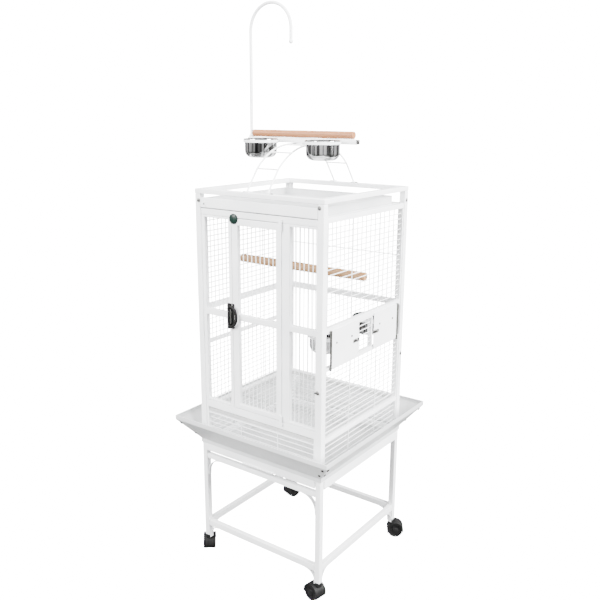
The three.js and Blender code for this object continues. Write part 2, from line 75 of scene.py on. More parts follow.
def joint(name):
    return next(j for j in frame["joints"] if j["name"] == name)


FRONT, BACK = (corner.y for corner in panel_limits("back_grille", "back"))   # faces of a panel's bars
LINE = (FRONT + BACK) / 2            # where the wires of a panel lie
HALF = limits("post_front_right")[1].x
SPAN = panel_limits("back_grille", "back")[1].x
WIRE = 1.3                           # wire radius
PITCH = 16                           # wire spacing
SUPPORT_LINE = LINE - 2 * WIRE - 0.1
FLANGE = (391, 401)                  # heights of the panels' rails
APRON_RAIL = (497, 501)
SILL = (517, 540)
SIDE_SILL = (499, 513)
FEEDER_RAIL = (714, 725)
MIDDLE_RAIL = (817, 836)
SIDE_MIDDLE_RAIL = (822, 840)
SIDE_TOP_RAIL = (1126, 1142)
SEAM = 0.25                          # how far a welded cross bar lies behind the face that it meets


def between(low, high, pitch=PITCH):
    """Centres that split a span evenly, as near to the pitch as they can."""
    count = round((high - low) / pitch)
    return [low + (high - low) * i / count for i in range(1, count)]


def arc(centre, radius, start, end, steps):
    """Points (a, b) on an arc, with its angles in degrees."""
    angles = [math.radians(start + (end - start) * i / steps) for i in range(steps + 1)]
    return [(centre[0] + radius * math.cos(t), centre[1] + radius * math.sin(t)) for t in angles]


def circle(radius, sides):
    return arc((0, 0), radius, 0, 360 - 360 / sides, sides - 1)


def rounded(width, height, radius, steps=3):
    """The outline of a rectangle with round corners, about its centre."""
    x, y = width / 2 - radius, height / 2 - radius
    corners = (((x, y), 0), ((-x, y), 90), ((-x, -y), 180), ((x, -y), 270))
    return [p for centre, start in corners for p in arc(centre, radius, start, start + 90, steps)]


# ---------------------------------------------------------------- forms
class Form:
    """A mesh gathered from closed bodies. `paint` is the number of the finish of what is added next."""

    def __init__(self, *finishes, turn=None):
        self.finishes = finishes
        self.points, self.faces, self.paints = [], [], []
        self.paint = 0
        self.turn = turn or Matrix.Identity(4)

    def add(self, points, faces):
        start = len(self.points)
        self.points += [self.turn @ Vector(p) for p in points]
        self.faces += [[start + i for i in face] for face in faces]
        self.paints += [self.paint] * len(faces)

    def take(self, bm):
        bm.verts.index_update()
        self.add([v.co.copy() for v in bm.verts], [[v.index for v in f.verts] for f in bm.faces])
        bm.free()

    def block(self, low, high, edge=1.4, steps=2):
        """A box with rounded edges."""
        low, high = Vector(low), Vector(high)
        size = high - low
        bm = bmesh.new()
        bmesh.ops.create_cube(bm, size=1, matrix=Matrix.LocRotScale((low + high) / 2, None, size))
        bmesh.ops.bevel(bm, geom=bm.edges[:], offset=min(edge, 0.45 * min(size)), segments=steps,
                        profile=0.5, affect="EDGES")
        self.take(bm)

    def prism(self, outline, low, high, edge=0.5):
        """An outline of (x, z) points pushed along y, with its rims rounded."""
        bm = bmesh.new()
        rings = [[bm.verts.new((x, y, z)) for x, z in outline] for y in (low, high)]
        bm.faces.new(rings[0])
        bm.faces.new(reversed(rings[1]))
        count = len(outline)
        for i in range(count):
            j = (i + 1) % count
            bm.faces.new((rings[0][j], rings[0][i], rings[1][i], rings[1][j]))
        rims = [e for e in bm.edges if abs(e.verts[0].co.y - e.verts[1].co.y) < 1e-6]
        bmesh.ops.bevel(bm, geom=rims, offset=edge, segments=2, profile=0.5, affect="EDGES")
        self.take(bm)

    def sweep(self, path, outline, side, closed=False):
        """An outline of (u, v) points drawn along a flat path; u goes along `side`, square to its plane."""
        path = [Vector(p) for p in path]
        count, size = len(path), len(outline)
        points = []
        for i, centre in enumerate(path):
            before = centre - path[i - 1] if closed or i else None
            after = path[(i + 1) % count] - centre if closed or i < count - 1 else None
            ways = [way.normalized() for way in (before, after) if way]
            tangent = sum(ways, Vector()).normalized()
            stretch = 1 / max(0.3, tangent.dot(ways[0]))
            other = tangent.cross(side) * stretch
            points += [centre + side * u + other * v for u, v in outline]
        rings = count if closed else count - 1
        faces = []
        for i in range(rings):
            a, b = i * size, (i + 1) % count * size
            faces += [(a + k, a + (k + 1) % size, b + (k + 1) % size, b + k) for k in range(size)]
        if not closed:
            faces += [list(range(size))[::-1], list(range((count - 1) * size, count * size))]
        self.add(points, faces)

    def rod(self, path, radius, side, sides=10):
        self.sweep(path, circle(radius, sides), side)

    def wire_up(self, x, y, low, high, radius=WIRE):
        self.rod([(x, y, low), (x, y, high)], radius, ACROSS, 8)

    def wire_across(self, low, high, y, z, radius=WIRE):
        self.rod([(low, y, z), (high, y, z)], radius, INTO, 8)

    def lathe(self, profile, at, axis=UP, steps=32, closed=False, start=0.0):
        """A profile of (radius, height) points turned about an axis through `at`."""
        spin = UP.rotation_difference(Vector(axis)).to_matrix()
        points, rings = [], []
        for radius, height in profile:
            ring = []
            for i in range(steps if radius > 1e-6 else 1):
                angle = start + 2 * math.pi * i / steps
                ring.append(len(points))
                flat = Vector((radius * math.cos(angle), radius * math.sin(angle), height))
                points.append(Vector(at) + spin @ flat)
            rings.append(ring)
        faces = []
        pairs = list(zip(rings, rings[1:])) + ([(rings[-1], rings[0])] if closed else [])
        for a, b in pairs:
            for i in range(steps):
                j = (i + 1) % steps
                corners = [a[i % len(a)], a[j % len(a)], b[j % len(b)], b[i % len(b)]]
                faces.append(list(dict.fromkeys(corners)))
        self.add(points, faces)

    def bolt(self, at, axis, radius=3.6, washer=True):
        """A pan head on a washer, with a recess for the driver."""
        if washer:
            self.lathe([(0, 0), (radius * 1.45, 0), (radius * 1.5, 0.3), (radius * 1.45, 0.8), (0, 0.8)],
                       at, axis, 24)
        head = radius * 0.62
        base = 0.8 if washer else 0
        profile = [(0, base), (radius, base), (radius, base + head * 0.45),
                   (radius * 0.86, base + head * 0.82), (radius * 0.5, base + head),
                   (radius * 0.42, base + head * 0.55), (0, base + head * 0.5)]
        self.lathe(profile, at, axis, 20)

    def nut(self, at, axis, radius=4.6, height=3.4):
        chamfer = 0.5
        self.lathe([(0, 0), (radius, 0), (radius, height - chamfer), (radius - 0.9, height), (0, height)],
                   at, axis, 6)


def finish(name, form, body, slot, *nodes, smooth_below=42):
    """Makes a form into a piece that rides on a body and stands for its CAD nodes."""
    mesh = bpy.data.meshes.new(name)
    mesh.from_pydata([p * MM for p in form.points], [], form.faces)
    mesh.polygons.foreach_set("material_index", form.paints)
    bm = bmesh.new()
    bm.from_mesh(mesh)
    bmesh.ops.recalc_face_normals(bm, faces=bm.faces)
    bm.to_mesh(mesh)
    bm.free()
    for material in form.finishes:
        mesh.materials.append(material)
    mesh.shade_smooth()
    mesh.set_sharp_from_angle(angle=math.radians(smooth_below))
    piece = bpy.data.objects.new(name, mesh)
    bpy.context.scene.collection.objects.link(piece)
    weighted = piece.modifiers.new("weighted_normals", "WEIGHTED_NORMAL")
    weighted.keep_sharp = True
    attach(piece, body)
    if nodes:
        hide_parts(*nodes)


def coated(node, part, form, body="cage", **shading):
    """Makes a form in the white coat into a piece named after the one CAD node that it stands for."""
    finish(f"{node}_{part}", form, body, "white_coat", node, **shading)


# ---------------------------------------------------------------- finishes
class Finish:
    """A node material under construction, with short calls for the nodes that the finishes share."""

    def __init__(self, name):
        self.material = bpy.data.materials.new(name)
        self.material.use_nodes = True
        self.nodes = self.material.node_tree.nodes
        self.links = self.material.node_tree.links
        self.shader = self.nodes["Principled BSDF"]
        self.place = self.new("ShaderNodeTexCoord").outputs["Object"]

    def new(self, kind, **settings):
        node = self.nodes.new(kind)
        for key, value in settings.items():
            setattr(node, key, value)
        return node

    def set(self, **values):
        for key, value in values.items():
            self.shader.inputs[key.replace("_", " ")].default_value = value

    def stretched(self, scale, turn=(0, 0, 0)):
        mapping = self.new("ShaderNodeMapping")
        mapping.inputs["Scale"].default_value = scale
        mapping.inputs["Rotation"].default_value = turn
        self.links.new(self.place, mapping.inputs["Vector"])
        return mapping.outputs["Vector"]

    def noise(self, scale, detail=3.0, roughness=0.5, vector=None, distortion=0.0):
        node = self.new("ShaderNodeTexNoise")
        node.inputs["Scale"].default_value = scale
        node.inputs["Detail"].default_value = detail
        node.inputs["Roughness"].default_value = roughness
        node.inputs["Distortion"].default_value = distortion
        self.links.new(vector or self.place, node.inputs["Vector"])
        return node.outputs["Fac"]

    def ramp(self, value, *stops):
        node = self.new("ShaderNodeValToRGB")
        elements = node.color_ramp.elements
        while len(elements) < len(stops):
            elements.new(0.5)
        for element, (position, color) in zip(elements, stops):
            element.position = position
            element.color = (*color, 1)
        self.links.new(value, node.inputs["Fac"])
        return node.outputs["Color"]

    def spread(self, value, low, high):
        node = self.new("ShaderNodeMapRange")
        node.inputs["From Min"].default_value = 0.3
        node.inputs["From Max"].default_value = 0.7
        node.inputs["To Min"].default_value = low
        node.inputs["To Max"].default_value = high
        self.links.new(value, node.inputs["Value"])
        return node.outputs["Result"]

    def color(self, socket):
        self.links.new(socket, self.shader.inputs["Base Color"])

    def rough(self, socket):
        self.links.new(socket, self.shader.inputs["Roughness"])

    def bump(self, height, depth, strength=0.6):
        """Adds relief of that depth in metres, on top of the relief already there."""
        node = self.new("ShaderNodeBump")
        node.inputs["Strength"].default_value = strength
        node.inputs["Distance"].default_value = depth
        self.links.new(height, node.inputs["Height"])
        normal = self.shader.inputs["Normal"]
        if normal.links:
            self.links.new(normal.links[0].from_socket, node.inputs["Normal"])
        self.links.new(node.outputs["Normal"], normal)


def powder_coat(name, dark, light):
    """Satin powder coat: a fine orange peel over slow waves, and a slight drift of tone."""
    look = Finish(name)
    look.color(look.ramp(look.noise(9, 2), (0.35, dark), (0.65, light)))
    look.rough(look.spread(look.noise(60, 4), 0.30, 0.44))
    look.bump(look.noise(1100, 2), 0.00006)
    look.bump(look.noise(240, 2), 0.00009, 0.35)
    look.set(Coat_Weight=0.12, Coat_Roughness=0.22)
    return look.material


def spun_steel_with_painted_reflections(name, dark, middle, light):
    """Bright stainless steel: fine lines of spinning round each cup, under light and dark streaks up its wall
    that are painted reflections in the colour.
    """
    look = Finish(name)
    lines = look.noise(1, 4, 0.7, look.stretched((12, 12, 2600)))
    streaks = look.noise(1, 3, 0.55, look.stretched((52, 52, 3)))
    # painted reflection: streaks of near-black to near-white base colour up the wall stand in for dark cards
    # and bright studio mirrored in the steel
    look.color(look.ramp(streaks, (0.38, [dark] * 3), (0.48, [middle] * 3), (0.58, [light] * 3)))
    look.rough(look.spread(look.noise(45, 5, 0.6), 0.04, 0.10))
    look.bump(lines, 0.00002, 0.35)
    look.set(Metallic=1.0)
    return look.material


def zinc():
    look = Finish("zinc_plate")
    look.color(look.ramp(look.noise(500, 4), (0.35, (0.10, 0.10, 0.095)), (0.7, (0.24, 0.24, 0.23))))
    look.rough(look.spread(look.noise(350, 4), 0.28, 0.5))
    look.bump(look.noise(1500, 2), 0.00003)
    look.set(Metallic=1.0)
    return look.material


def dowel(name, dark, middle, light, turn=(0, 0, 0)):
    """Sanded hardwood: growth rings along the dowel, drawn-out fibres and short pores."""
    look = Finish(name)
    wave = look.new("ShaderNodeTexWave", wave_type="RINGS", rings_direction="X", wave_profile="SAW")
    wave.inputs["Scale"].default_value = 55
    wave.inputs["Distortion"].default_value = 5
    wave.inputs["Detail"].default_value = 3
    wave.inputs["Detail Scale"].default_value = 1.6
    shifted = look.new("ShaderNodeMapping")
    shifted.inputs["Location"].default_value = (0, 0.012, -0.02)
    shifted.inputs["Scale"].default_value = (0.12, 1, 1)
    shifted.inputs["Rotation"].default_value = turn
    look.links.new(look.place, shifted.inputs["Vector"])
    look.links.new(shifted.outputs["Vector"], wave.inputs["Vector"])
    fibres = look.noise(1, 6, 0.65, look.stretched((14, 900, 900), turn))
    pores = look.noise(1, 3, 0.5, look.stretched((70, 1500, 1500), turn))
    mix = look.new("ShaderNodeMath", operation="MULTIPLY_ADD")
    mix.inputs[1].default_value = 0.45
    look.links.new(wave.outputs["Fac"], mix.inputs[0])
    look.links.new(fibres, mix.inputs[2])
    tone = look.ramp(mix.outputs["Value"], (0.35, dark), (0.62, middle), (0.95, light))
    blend = look.new("ShaderNodeMixRGB", blend_type="MULTIPLY")
    blend.inputs["Fac"].default_value = 0.35
    look.links.new(tone, blend.inputs["Color1"])
    look.links.new(look.ramp(pores, (0.32, (0.62, 0.5, 0.42)), (0.42, (1, 1, 1))), blend.inputs["Color2"])
    look.color(blend.outputs["Color"])
    look.rough(look.spread(fibres, 0.48, 0.68))
    look.bump(fibres, 0.00012, 0.5)
    look.bump(pores, 0.0001, 0.4)
    return look.material


def moulded(name, color, low, high, grain=1400, shine=0.25):
    """Moulded plastic with a fine spark-eroded grain."""
    look = Finish(name)
    lighter = tuple(c * 1.7 for c in color)
    look.color(look.ramp(look.noise(40, 4), (0.35, color), (0.75, lighter)))
    look.rough(look.spread(look.noise(120, 4), low, high))
    look.bump(look.noise(grain, 3), 0.00008, 0.7)
    look.set(Specular_IOR_Level=shine)
    return look.material


def enamel():
    """Glossy dark green enamel with a slight mottle."""
    look = Finish("green_enamel")
    tones = look.ramp(look.noise(260, 4), (0.35, (0.003, 0.010, 0.0075)), (0.7, (0.007, 0.022, 0.017)))
    look.color(tones)
    look.rough(look.spread(look.noise(200, 2), 0.22, 0.34))
    look.bump(look.noise(320, 2), 0.00005, 0.4)
    look.set(Coat_Weight=0.1, Coat_Roughness=0.12, Specular_IOR_Level=0.2)
    return look.material


COAT = powder_coat("white_powder_coat", (0.80, 0.81, 0.82), (0.87, 0.875, 0.88))
# painted shade: the white coat at a lower albedo, standing in for the shade on the skirt and inside the tray
# pans
SHADED_SHEET_COAT = powder_coat("sheet_powder_coat_painted_shade", (0.50, 0.51, 0.515), (0.56, 0.565, 0.57))
# painted shade: a darker copy of the white coat, standing in for the shade that the cage casts on the floor
# grate
SHADED_GRATE_COAT = powder_coat("grate_powder_coat_painted_shade", (0.40, 0.405, 0.40), (0.48, 0.48, 0.475))
# the cup steels carry painted reflection streaks in their base colour
TOP_STEEL = spun_steel_with_painted_reflections("top_steel", 0.085, 0.42, 0.88)
# painted reflection: the same steel with a darker base colour, standing in for darker reflections inside the
# cage
FEEDER_STEEL_PAINTED_DARK = spun_steel_with_painted_reflections("feeder_steel_painted_dark", 0.05, 0.26, 0.72)
ZINC = zinc()
PERCH_WOOD = dowel("perch_wood", (0.14, 0.062, 0.022), (0.27, 0.14, 0.055), (0.37, 0.205, 0.09))
PLAY_WOOD = dowel("play_wood", (0.16, 0.058, 0.016), (0.235, 0.086, 0.026), (0.31, 0.122, 0.041))
BLACK = moulded("black_moulding", (0.0055, 0.0055, 0.0056), 0.38, 0.55, shine=0.12)
TREAD = moulded("caster_tread", (0.011, 0.011, 0.0112), 0.5, 0.72, 900, shine=0.12)
DARK_SCREW = moulded("black_oxide", (0.02, 0.018, 0.016), 0.3, 0.45, 2200)
ENAMEL = enamel()


# ---------------------------------------------------------------- stand
def make_legs():
    for corner in CORNERS:
        low, high = limits(f"leg_{corner}")
        form = Form(COAT, BLACK)
        form.block(low, high, 2.2, 3)
        form.paint = 1
        centre = (low + high) / 2
        plug = [(0, 0.05), (7.6, 0.05), (8.2, -0.1), (8.2, -0.25), (0, -0.25)]
        form.lathe(plug, (centre.x, centre.y, low.z), UP, 28)
        coated(f"leg_{corner}", "tube", form)


def braced_rail(form, low, high, radius):
    """A rail between two legs, with a bent strip under each end."""
    thickness, width = 3, 12
    form.block(low, high, 1.8)
    middle = (low.y + high.y) / 2
    for side in (-1, 1):
        centre = (high.x - radius, low.z - radius + 1)
        curve = arc(centre, radius - thickness / 2, 0, 90, 14)
        tail = [(curve[0][0], curve[0][1] - 8)]
        path = [(side * x, middle, z) for x, z in tail + curve]
        form.sweep(path, rounded(width, thickness, 0.8, 2), INTO)


def make_rails():
    foot = {"lower": 97, "upper": 338}
    radius = {"lower": 36, "upper": 50}
    half_depth = 8
    places = [("lower", side) for side in SIDES] + [("upper", "front")]
    for level, side in places:
        node = f"stand_{level}_rail_{side}"
        low, high = panel_limits(node, side)
        low.z = foot[level]
        form = Form(COAT, turn=TURNS[side])
        middle = (low.y + high.y) / 2
        low.y, high.y = middle - half_depth, middle + half_depth
        braced_rail(form, low, high, radius[level])
        coated(node, "tube", form)


def make_base_frame():
    low, high = limits("base_frame")
    rail = 19.3
    ledge = (364, 366)
    ledge_reach = 190
    form = Form(COAT)
    form.block((low.x, -SPAN, low.z), (low.x + rail, SPAN, high.z), 1.8)
    form.block((high.x - rail, -SPAN, low.z), (high.x, SPAN, high.z), 1.8)
    form.block((-SPAN, HALF - rail, low.z), (SPAN, HALF, high.z), 1.8)
    for side in (-1, 1):
        a, b = sorted((side * (HALF - rail + 1), side * ledge_reach))
        form.block((a, -SPAN, ledge[0]), (b, SPAN, ledge[1]), 0.6)
    form.block((-SPAN, ledge_reach, ledge[0]), (SPAN, HALF - rail + 1, ledge[1]), 0.6)
    coated("base_frame", "tube", form)


def pan(form, low, high, wall, radius=6):
    """An open tray of thin sheet, with round inside corners and a rolled rim."""
    sheet = 1.2
    middle = (low + high) / 2
    width, depth = high.x - low.x, high.y - low.y

    def ring(inset, z, corner):
        outline = rounded(width - 2 * inset, depth - 2 * inset, max(0.4, corner - inset), 4)
        return [(middle.x + x, middle.y + y, z) for x, y in outline]

    rings = [ring(1.5, low.z, radius), ring(0.4, low.z + 0.5, radius), ring(0, low.z + 1.6, radius)]
    rings += [ring(0, wall - 1.6, radius), ring(0, wall - 0.4, radius), ring(0.5, wall, radius)]
    rings += [ring(1.6, wall, radius), ring(2.1, wall - 0.5, radius), ring(2.1, wall - 1.5, radius)]
    rings += [ring(sheet, wall - 2.4, radius), ring(sheet, low.z + 3.2, radius)]
    rings += [ring(sheet + 0.6, low.z + 1.9, radius), ring(sheet + 2, low.z + sheet, radius)]
    size = len(rings[0])
    faces = []
    for i in range(len(rings) - 1):
        a, b = i * size, (i + 1) * size
        faces += [(a + k, a + (k + 1) % size, b + (k + 1) % size, b + k) for k in range(size)]
    faces += [list(range(size))[::-1], list(range((len(rings) - 1) * size, len(rings) * size))]
    form.add([p for one in rings for p in one], faces)


def make_trays():
    plate = 4.6
    for node, floor, wall in (("litter_tray", 366.3, 388), ("top_tray", 1142.3, 1166)):
        low, high = limits(node)
        # the pan takes the white coat darkened as painted shade; the front plate keeps the plain white coat
        form = Form(SHADED_SHEET_COAT, COAT)
        pan(form, Vector((low.x + 3, -224.4, floor)), Vector((high.x - 3, high.y, 0)), wall)
        form.paint = 1
        form.block((low.x, -HALF, low.z), (high.x, -HALF + plate, high.z), 1.2)
        if node == "litter_tray":
            form.block((-60, low.y, low.z), (60, -HALF + 1, low.z + 2.2), 0.7)
        coated(node, "pan", form, node)


def make_skirt():
    """Four bent sheets that meet at mitres, each with an upright hem and a folded lip."""
    sheet = 1.4
    inner = HALF + 0.4
    hem, foot, slope_top = limits("skirt_front")[0].z, 404, 472
    outer, rim = -limits("skirt_front")[0].y, limits("skirt_front")[1].z
    rise = math.atan2(slope_top - foot, outer - inner)
    nx, nz = -math.sin(rise) * sheet, math.cos(rise) * sheet
    lower = [(inner, hem), (inner + sheet, hem), (inner + sheet, foot - 0.6),
             (inner + sheet + 0.4, foot + 0.4), (outer - 1.2, slope_top - 1.4),
             (outer - 0.3, slope_top + 0.4), (outer, slope_top + 2), (outer, rim - 0.8), (outer - 0.4, rim)]
    upper = [(outer - 2.6, rim), (outer - 3, rim - 0.6), (outer - 3, rim - 4), (outer - sheet, rim - 4.4),
             (outer - sheet, slope_top + 2.6), (outer - 1.2 + nx, slope_top - 1.4 + nz),
             (inner + 1 + nx * 0.4, foot + nz + 0.6), (inner, foot + nz)]
    profile = lower + upper
    size = len(profile)
    for side in SIDES:
        # the skirt sheets take the white coat darkened as painted shade
        form = Form(SHADED_SHEET_COAT, turn=TURNS[side])
        ends = [[(s * (d - 0.5), -d, z) for d, z in profile] for s in (-1, 1)]
        faces = [(k, (k + 1) % size, size + (k + 1) % size, size + k) for k in range(size)]
        faces += [list(range(size))[::-1], list(range(size, 2 * size))]
        form.add(ends[0] + ends[1], faces)
        coated(f"skirt_{side}", "sheet", form, smooth_below=60)

    screws = Form(ZINC, DARK_SCREW)
    for side in SIDES:
        screws.turn = TURNS[side]
        outward = Vector((0, math.sin(rise), math.cos(rise)))
        for end in (-1, 1):
            for share in (0.3, 0.84):
                reach = inner + share * (outer - inner)
                height = foot + share * (slope_top - foot) + sheet / math.cos(rise)
                at = Vector((end * (reach - 9), -reach, height))
                screws.paint = 0
                screws.bolt(at, outward, 3, washer=False)
                screws.paint = 1
                screws.nut(at - outward * sheet, -outward, 4.2, 3.4)
    finish("skirt_screws", screws, "cage", "stainless")


# ---------------------------------------------------------------- cage
def make_posts():
    for corner in CORNERS:
        low, high = limits(f"post_{corner}")
        form = Form(COAT)
        form.block(low, high, 2.4, 3)
        coated(f"post_{corner}", "tube", form)
    low, high = limits("top_frame")
    post = 20
    middle = (low.z + high.z) / 2
    reach = HALF - post / 2
    path = [(x * reach, y * reach, middle) for x, y in CORNERS.values()]
    form = Form(COAT)
    form.sweep(path, rounded(high.z - low.z, post, 1.8), UP, closed=True)
    coated("top_frame", "tube", form)


def rail(form, x, low, high, edge=1.4):
    """A level bar welded between two stiles."""
    form.block((x[0] + 1.5, FRONT + SEAM, low + SEAM), (x[1] - 1.5, BACK - SEAM, high - SEAM), edge)


def grille(form, x, rails, stile, supports):
    """Level wires between stiles, with rails across at the given heights and upright supports in front."""
    inside = (x[0] + stile, x[1] - stile)
    form.block((x[0], FRONT, rails[0][0]), (inside[0], BACK, rails[-1][1]))
    form.block((inside[1], FRONT, rails[0][0]), (x[1], BACK, rails[-1][1]))
    for low, high in rails:
        rail(form, x, low, high)
    for below, above in zip(rails, rails[1:]):
        for z in between(below[1], above[0]):
            form.wire_across(inside[0] - 1, inside[1] + 1, LINE, z)
    for place in supports:
        form.wire_up(place, SUPPORT_LINE, rails[0][1] - 1, rails[-1][0] + 1)


def grate_ledge(form):
    form.block((-195, BACK - 1, 499.5), (195, -196, 502.5), 0.7)


def knuckle(form, axis, radius, z, block, pin_radius, pin):
    """A hinge eye in front of a rail, with a round-nosed pin."""
    x, y = axis
    form.lathe([(0, z[0]), (radius - 0.4, z[0]), (radius, z[0] + 0.4), (radius, z[1] - 0.4),
                (radius - 0.4, z[1]), (0, z[1])], (x, y, 0), UP, 24)
    form.block((x - radius * 0.75, y, block[0]), (x + radius * 0.75, FRONT + 1, block[1]), 0.8)
    form.lathe([(0, pin[0]), (pin_radius * 0.6, pin[0]), (pin_radius, pin[0] + 1), (pin_radius, pin[1] - 1),
                (pin_radius * 0.6, pin[1]), (0, pin[1])], (x, y, 0), UP, 16)


def sleeve(form, axis, bore, radius, z, inset, ease):
    """A barrel that turns on a pin, eased at its outer edges."""
    form.lathe([(bore, z[0]), (radius - inset, z[0]), (radius, z[0] + ease), (radius, z[1] - ease),
                (radius - inset, z[1]), (bore, z[1])], (*axis, 0), UP, 24, closed=True)


STOP_Y = (-212.3, -210.8)            # the strips that the closed door rests against
STOPS = {"left": (-94, -86), "right": (83, 90)}


def make_front_wall():
    axis = [v / MM for v in joint("door_hinge")["pos_m"][:2]]
    stile = 8
    inside = (-SPAN + stile, SPAN - stile)
    form = Form(COAT)
    form.block((-SPAN, FRONT, SILL[0]), (SPAN, BACK, SILL[1]), 1.8)
    for a, b in ((-SPAN + SEAM, inside[0]), (inside[1], SPAN - SEAM)):
        form.block((a, FRONT + SEAM, FLANGE[0]), (b, BACK - SEAM, SILL[1] - 4))
    rail(form, (-SPAN, SPAN), *APRON_RAIL)
    rail(form, (-SPAN, SPAN), *FLANGE)
    for z in between(FLANGE[1], APRON_RAIL[0]):
        form.wire_across(inside[0] - 1, inside[1] + 1, LINE, z)
    for x in (-70, 70):
        form.wire_up(x, SUPPORT_LINE, FLANGE[1] - 1, APRON_RAIL[0] + 1)
    stop = (STOPS["left"][1] + 0.3, STOPS["right"][0] - 0.3)
    form.block((stop[0], STOP_Y[0], SILL[1] - 1), (stop[1], STOP_Y[1], SILL[1] + 5), 0.4)
    knuckle(form, axis, 4.2, (530, 544), (530, 540), 2.2, (543, 558))
    coated("front_apron", "frame", form)

    low, high = limits("front_lintel")
    form = Form(COAT)
    lintel = high.z - 18
    form.block((-SPAN, FRONT, lintel), (SPAN, BACK, high.z), 1.8)
    form.block((stop[0], STOP_Y[0], lintel - 5), (stop[1], STOP_Y[1], lintel + 1), 0.4)
    knuckle(form, axis, 4.2, (1114, 1127), (1119, 1127), 2.2, (1100, 1115))
    coated("front_lintel", "bar", form)

    stiles = {"left": ((-SPAN, -196), (-105, -93)), "right": ((89, 115), (204, SPAN))}
    for side, (outer, inner) in stiles.items():
        node = f"front_grille_{side}"
        low, high = limits(node)
        a, b = outer[1], inner[0]
        form = Form(COAT)
        for left, right in (outer, inner):
            form.block((left, FRONT, low.z), (right, BACK, high.z))
        form.block((STOPS[side][0], STOP_Y[0], low.z), (STOPS[side][1], STOP_Y[1], high.z), 0.4)
        for z in ((low.z, low.z + 7), MIDDLE_RAIL, (high.z - 7, high.z)):
            rail(form, (outer[0], inner[1]), *z)
        for x in between(a, b):
            form.wire_up(x, LINE, low.z + 6, high.z - 6)
        coated(node, "frame", form)


def make_plain_walls():
    rails = (FLANGE, SIDE_SILL, FEEDER_RAIL, SIDE_MIDDLE_RAIL, SIDE_TOP_RAIL)
    form = Form(COAT, turn=TURNS["left"])
    grille(form, (-SPAN, SPAN), rails, 5, (-75, 75))
    grate_ledge(form)
    coated("left_grille", "frame", form)

    form = Form(COAT, turn=TURNS["back"])
    inside = (-SPAN + 5, SPAN - 5)
    for a, b in ((-SPAN, inside[0]), (inside[1], SPAN)):
        form.block((a, FRONT, FLANGE[0]), (b, BACK, SIDE_TOP_RAIL[1]))
    for heights in (FLANGE, SIDE_SILL, MIDDLE_RAIL, SIDE_TOP_RAIL):
        rail(form, (-SPAN, SPAN), *heights)
    for z in between(FLANGE[1], SIDE_SILL[0]):
        form.wire_across(inside[0] - 1, inside[1] + 1, LINE, z)
    for x in between(*inside):
        form.wire_up(x, LINE, SIDE_SILL[1] - 1, SIDE_TOP_RAIL[0] + 1)
    form.wire_across(inside[0] - 1, inside[1] + 1, SUPPORT_LINE, 977)
    coated("back_grille", "frame", form)


def feeder_axis(name):
    """The hinge line of a feeder door, as seen from the right side."""
    x, y, z = joint(f"feeder_door_{name}_hinge")["pos_m"]
    return y / MM, -x / MM


def make_feeder_wall():
    form = Form(COAT, ZINC, turn=TURNS["right"])
    grille(form, (-SPAN, SPAN), (FLANGE, SIDE_SILL, FEEDER_RAIL), 5, (-75, 75))
    grate_ledge(form)
    form.paint = 1
    for name in ("front", "back"):
        knuckle(form, feeder_axis(name), 3.2, (715, 729), (715, 724), 1.6, (728, 738))
    coated("right_grille_lower", "frame", form)

    form = Form(COAT, ZINC, turn=TURNS["right"])
    grille(form, (-SPAN, SPAN), (SIDE_MIDDLE_RAIL, SIDE_TOP_RAIL), 5, (-75, 75))
    form.paint = 1
    for name in ("front", "back"):
        knuckle(form, feeder_axis(name), 3.2, (808, 831), (823, 831), 1.6, (799.5, 809))
    coated("right_grille_upper", "frame", form)

    low, high = panel_limits("feeder_divider", "right")
    form = Form(COAT, turn=TURNS["right"])
    grille(form, (low.x, high.x), ((low.z, low.z + 3), (high.z - 3, high.z)), 6, ())
    coated("feeder_divider", "frame", form)


# ---------------------------------------------------------------- door
def make_door():
    low, high = limits("door")
    axis = [v / MM for v in joint("door_hinge")["pos_m"][:2]]
    left, right, front, back = low.x, 87.5, -226.6, high.y
    a, b = left + 22, right - 19
    rails = ((low.z, low.z + 14.5), MIDDLE_RAIL, (high.z - 20, high.z))
    form = Form(COAT)
    form.block((left, front, low.z), (a, back, high.z), 2)
    form.block((b, front, low.z), (right, back, high.z), 2)
    for z in rails:
        form.block((left + 1.4, front + SEAM, z[0] + SEAM), (right - 1.4, back - SEAM, z[1] - SEAM), 2)
    for x in between(a, b):
        form.wire_up(x, LINE, rails[0][1] - 1, rails[2][0] + 1)
    for z in ((545, 560), (1098, 1113)):
        sleeve(form, axis, 2.5, 4.2, z, 0.4, 0.4)
        form.block((79, -229.7, z[0]), (87, -226, z[1]), 0.8)
    coated("door", "frame", form, "door")

    low, high = limits("door_badge")
    centre = (low + high) / 2
    radius = (high.x - low.x) / 2
    badge = Form(ENAMEL)
    face = high.y - low.y
    angles = [math.radians(9 * i) for i in range(11)]
    dome = [(radius * math.cos(t), face * (0.3 + 0.7 * math.sin(t))) for t in angles]
    badge.lathe([(0, 0), (radius, 0)] + dome, (centre.x, high.y, centre.z), -INTO, 48)
    finish("door_badge_disc", badge, "door", "badge", "door_badge")


